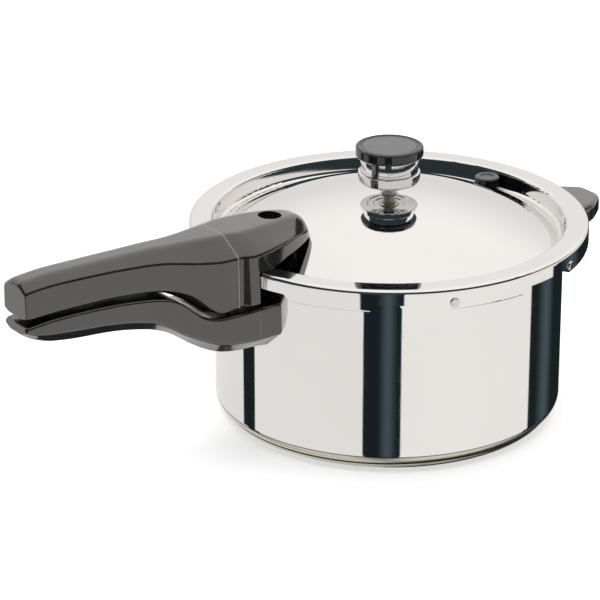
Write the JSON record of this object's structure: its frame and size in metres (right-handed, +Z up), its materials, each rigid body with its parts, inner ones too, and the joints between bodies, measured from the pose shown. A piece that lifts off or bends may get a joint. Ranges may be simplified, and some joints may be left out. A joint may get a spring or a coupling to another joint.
{
  "type": "stovetop pressure cooker",
  "caption": "Steel pot with lugged twist-on cover, sealing ring, weighted pressure regulator, rising cover lock, long two-part black handles and a short helper handle.",
  "frame": {"origin": "centre of the flat underside of the base, where the cooker stands on the stove", "axes": "+Z up along the pot's axis, the long handles along -X, the short helper handle along +X, +Y completes the right-handed set"},
  "size_m": [0.424, 0.242, 0.1678],
  "materials": {
    "polished_steel": "mirror polished stainless steel",
    "base_steel": "spun",
    "base_aluminium": "machined",
    "inner_steel": "satin",
    "rack_aluminium": "satin",
    "handle_plastic": "gloss phenolic moulding",
    "screw_steel": "bright",
    "ring_rubber": "satin",
    "plug_rubber": "satin",
    "pipe_nickel": "bright nickel plate",
    "pin_steel": "bright",
    "polished_chrome": "mirror",
    "insert_brass": "turned",
    "cap_plastic": "satin moulding"
  },
  "bodies": {
    "pot": {"pot_shell": "polished_steel", "base_core": "base_aluminium", "base_cap": "base_steel", "lock_bracket": "inner_steel", "cooking_rack": "rack_aluminium", "body_handle_bracket": "inner_steel", "body_handle_mount": "handle_plastic", "body_handle_grip": "handle_plastic", "body_handle_screw": "screw_steel", "body_handle_washer": "screw_steel", "helper_bracket": "inner_steel", "helper_handle": "handle_plastic", "helper_handle_screw": "screw_steel"},
    "ring": {"sealing_ring": "ring_rubber"},
    "cover": {"cover_shell": "polished_steel", "cover_studs": "screw_steel", "overpressure_plug": "plug_rubber", "vent_pipe": "pipe_nickel", "vent_pipe_nut": "screw_steel", "air_vent_gasket": "plug_rubber", "cover_handle_bracket": "inner_steel", "cover_handle_mount": "handle_plastic", "cover_handle_grip": "handle_plastic", "cover_handle_screws": "screw_steel"},
    "vent_lock": {"air_vent_pin": "pin_steel"},
    "regulator": {"regulator_weight": "polished_chrome", "regulator_drum": "polished_chrome", "regulator_insert": "insert_brass", "regulator_cap": "cap_plastic"}
  },
  "joints": [
    {"name": "cover_lift", "type": "slide", "parent": "pot", "child": "ring", "axis": [0, 0, 1], "range_m": [0, 0.14]},
    {"name": "cover_turn", "type": "hinge", "parent": "ring", "child": "cover", "pos_m": [0, 0, 0.118], "axis": [0, 0, 1], "range_deg": [0, 22.5]},
    {"name": "vent_lock_rise", "type": "slide", "parent": "cover", "child": "vent_lock", "axis": [0, 0, 1], "range_m": [0, 0.0034]},
    {"name": "regulator_lift", "type": "slide", "parent": "cover", "child": "regulator", "axis": [0, 0, 1], "range_m": [0, 0.03]}
  ]
}
